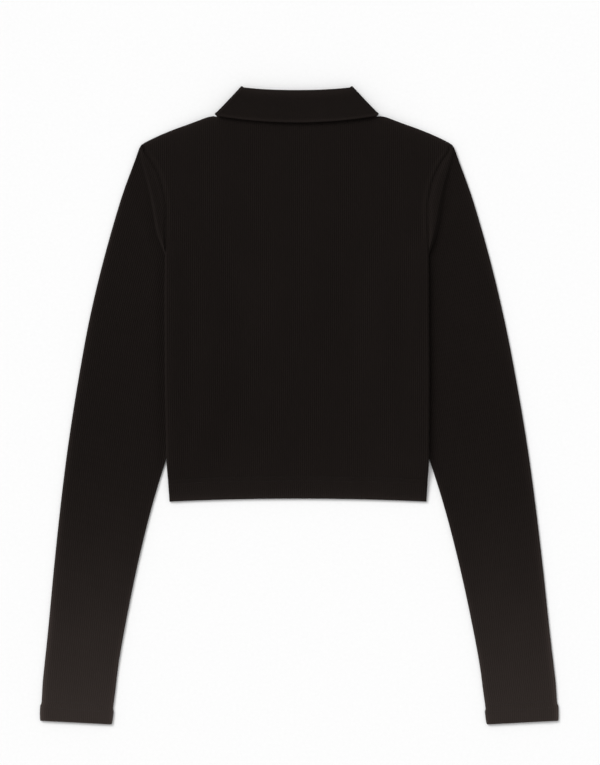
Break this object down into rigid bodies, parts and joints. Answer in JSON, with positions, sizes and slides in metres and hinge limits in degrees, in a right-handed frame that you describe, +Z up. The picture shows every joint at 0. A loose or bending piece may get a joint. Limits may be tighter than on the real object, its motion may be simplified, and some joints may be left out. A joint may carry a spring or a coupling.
{
  "type": "long-sleeve polo shirt",
  "caption": "Cropped long-sleeve polo shirt in fine rib knit, lying flat face down with its collar folded and its sleeves beside the body.",
  "frame": {"origin": "middle of the laid-out shirt's outline, on the surface it lies on", "axes": "+Z up out of the surface, towards the back panel that shows; +Y from the hem to the collar; +X to the right seen from above, towards the sleeve named right"},
  "size_m": [0.571, 0.7022, 0.0079],
  "materials": {
    "rib_knit": "matte fine rib knit",
    "collar_knit": "matte close knit",
    "button": "satin"
  },
  "bodies": {
    "root": {"back": "rib_knit", "front": "rib_knit", "sleeve_left": "rib_knit", "sleeve_right": "rib_knit", "collar": "collar_knit", "placket_outer": "rib_knit", "placket_inner": "rib_knit", "button_1": "button", "button_2": "button", "button_3": "button"}
  },
  "joints": []
}
